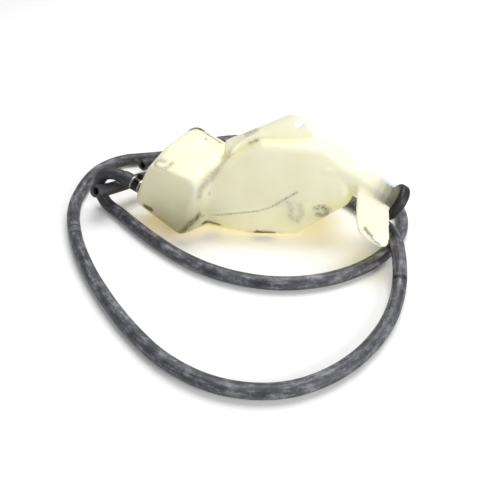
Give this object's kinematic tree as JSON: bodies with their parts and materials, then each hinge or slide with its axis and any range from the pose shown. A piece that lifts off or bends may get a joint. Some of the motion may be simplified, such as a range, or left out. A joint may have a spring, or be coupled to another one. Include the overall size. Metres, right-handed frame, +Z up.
{
  "type": "coolant recovery tank",
  "caption": "Translucent blow-moulded coolant recovery tank with a slanted filler neck, push-in cap, mounting ear, tab, and siphon and vent hoses.",
  "frame": {"origin": "on the flat rest face under the main lobe, which stands on the floor", "axes": "+Z up; +X towards the filler neck; +Y towards the back, away from the filler neck's flat tab"},
  "size_m": [0.3204, 0.3387, 0.1072],
  "materials": {
    "tank_plastic": "translucent satin",
    "cap_rubber": "matte",
    "hose_rubber": "matte, chalked",
    "clamp_steel": "dull zinc"
  },
  "bodies": {
    "tank": {"tank_body": "tank_plastic", "siphon_hose": "hose_rubber", "hose_clamp": "clamp_steel", "vent_hose": "hose_rubber"},
    "cap": {"filler_cap": "cap_rubber"}
  },
  "joints": [
    {"name": "cap_pull", "type": "slide", "parent": "tank", "child": "cap", "axis": [0.8682, -0.2004, -0.454], "range_m": [0, 0.024]}
  ]
}
